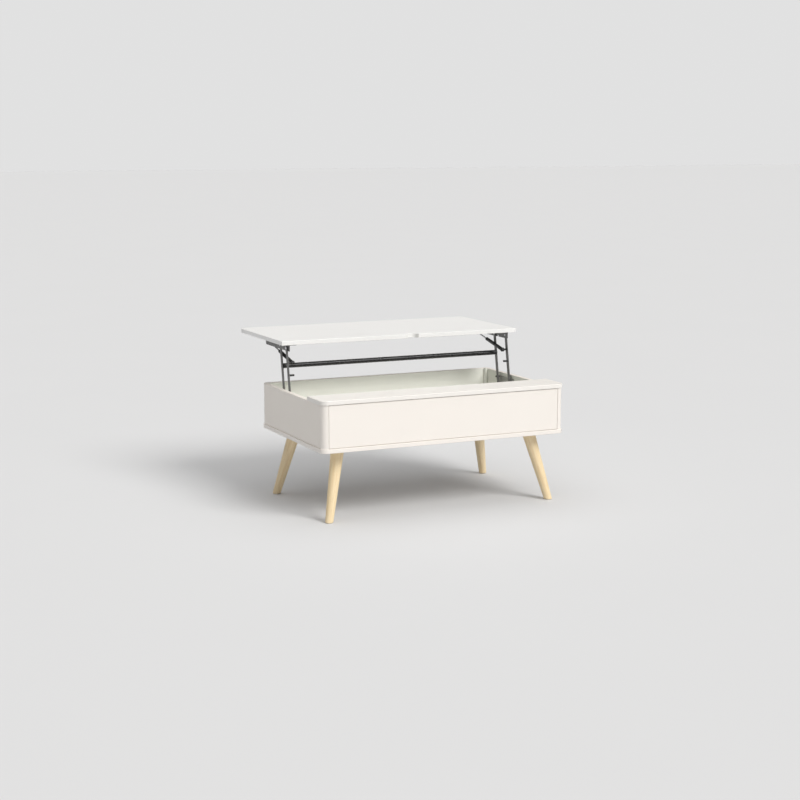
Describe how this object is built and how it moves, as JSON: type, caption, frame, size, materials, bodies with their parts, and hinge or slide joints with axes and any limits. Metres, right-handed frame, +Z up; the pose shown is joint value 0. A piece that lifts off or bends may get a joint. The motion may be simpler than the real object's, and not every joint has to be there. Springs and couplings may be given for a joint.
{
  "type": "lift top coffee table",
  "caption": "White lift-top coffee table on splayed round beech legs; the rear of the top swings up and back on parallel steel arms.",
  "frame": {"origin": "on the floor, under the middle of the cabinet", "axes": "+X to the right seen from the fixed front strip, +Y from the strip to the back, where the raised top goes, +Z up"},
  "size_m": [1.008, 0.8684, 0.6292],
  "materials": {
    "white_lacquer": "satin painted fibreboard",
    "beech": "clear satin lacquer",
    "dowel_wood": "bare",
    "grey_steel": "satin dark grey coating",
    "zinc_steel": "bright zinc plated",
    "black_steel": "satin black",
    "rubber": "matte",
    "felt": "felt"
  },
  "bodies": {
    "cabinet": {"bottom_board": "white_lacquer", "front_panel": "white_lacquer", "back_panel": "white_lacquer", "left_side_panel": "white_lacquer", "right_side_panel": "white_lacquer", "front_left_post": "white_lacquer", "front_right_post": "white_lacquer", "back_left_post": "white_lacquer", "back_right_post": "white_lacquer", "front_top_strip": "white_lacquer", "carcass_screws": "zinc_steel", "strip_dowels": "dowel_wood", "front_left_leg": "beech", "front_right_leg": "beech", "back_left_leg": "beech", "back_right_leg": "beech", "leg_bolts": "zinc_steel", "leg_inserts": "zinc_steel", "foot_pads": "felt", "left_base_plate": "grey_steel", "right_base_plate": "grey_steel", "base_plate_screws": "zinc_steel", "base_pivot_pins": "zinc_steel", "stop_pins": "black_steel"},
    "rear_links": {"left_rear_arm": "grey_steel", "right_rear_arm": "grey_steel", "crossbar": "grey_steel"},
    "lift_top": {"lift_top_panel": "white_lacquer", "left_bracket": "grey_steel", "right_bracket": "grey_steel", "bracket_screws": "zinc_steel", "top_pivot_pins": "zinc_steel", "bracket_studs": "black_steel", "lid_bumpers": "rubber"},
    "left_front_link": {"left_front_arm": "grey_steel", "left_arm_peg": "black_steel", "left_strut_stud": "black_steel"},
    "right_front_link": {"right_front_arm": "grey_steel", "right_arm_peg": "black_steel", "right_strut_stud": "black_steel"},
    "left_gas_cylinder": {"left_gas_tube": "black_steel", "left_tube_eye": "black_steel"},
    "right_gas_cylinder": {"right_gas_tube": "black_steel", "right_tube_eye": "black_steel"},
    "left_piston_rod": {"left_gas_rod": "zinc_steel", "left_rod_eye": "black_steel"},
    "right_piston_rod": {"right_gas_rod": "zinc_steel", "right_rod_eye": "black_steel"}
  },
  "joints": [
    {"name": "lift", "type": "hinge", "parent": "cabinet", "child": "rear_links", "pos_m": [0, 0.15129, 0.39196], "axis": [1, 0, 0], "range_deg": [0, 90]},
    {"name": "top_level", "type": "hinge", "parent": "rear_links", "child": "lift_top", "pos_m": [0, 0.18793, 0.59976], "axis": [1, 0, 0], "range_deg": [-90, 0]},
    {"name": "left_front_arm_swing", "type": "hinge", "parent": "cabinet", "child": "left_front_link", "pos_m": [-0.474, 0.07029, 0.39196], "axis": [1, 0, 0], "range_deg": [0, 90]},
    {"name": "left_spring_swing", "type": "hinge", "parent": "left_front_link", "child": "left_gas_cylinder", "pos_m": [-0.454, 0.09686, 0.54264], "axis": [1, 0, 0], "range_deg": [-97.3, 0]},
    {"name": "left_spring_stroke", "type": "slide", "parent": "left_gas_cylinder", "child": "left_piston_rod", "axis": [0, 0.9774, 0.2114], "range_m": [-0.079, 0]},
    {"name": "right_front_arm_swing", "type": "hinge", "parent": "cabinet", "child": "right_front_link", "pos_m": [0.474, 0.07029, 0.39196], "axis": [1, 0, 0], "range_deg": [0, 90]},
    {"name": "right_spring_swing", "type": "hinge", "parent": "right_front_link", "child": "right_gas_cylinder", "pos_m": [0.454, 0.09686, 0.54264], "axis": [1, 0, 0], "range_deg": [-97.3, 0]},
    {"name": "right_spring_stroke", "type": "slide", "parent": "right_gas_cylinder", "child": "right_piston_rod", "axis": [0, 0.9774, 0.2114], "range_m": [-0.079, 0]}
  ],
  "couplings": [
    {"joint": "top_level", "follows": "lift", "ratio": -1},
    {"joint": "left_front_arm_swing", "follows": "lift", "ratio": 1},
    {"joint": "left_spring_swing", "follows": "lift", "ratio": -1.08},
    {"joint": "left_spring_stroke", "follows": "lift", "m_per_rad": -0.05},
    {"joint": "right_front_arm_swing", "follows": "lift", "ratio": 1},
    {"joint": "right_spring_swing", "follows": "lift", "ratio": -1.08},
    {"joint": "right_spring_stroke", "follows": "lift", "m_per_rad": -0.05}
  ]
}
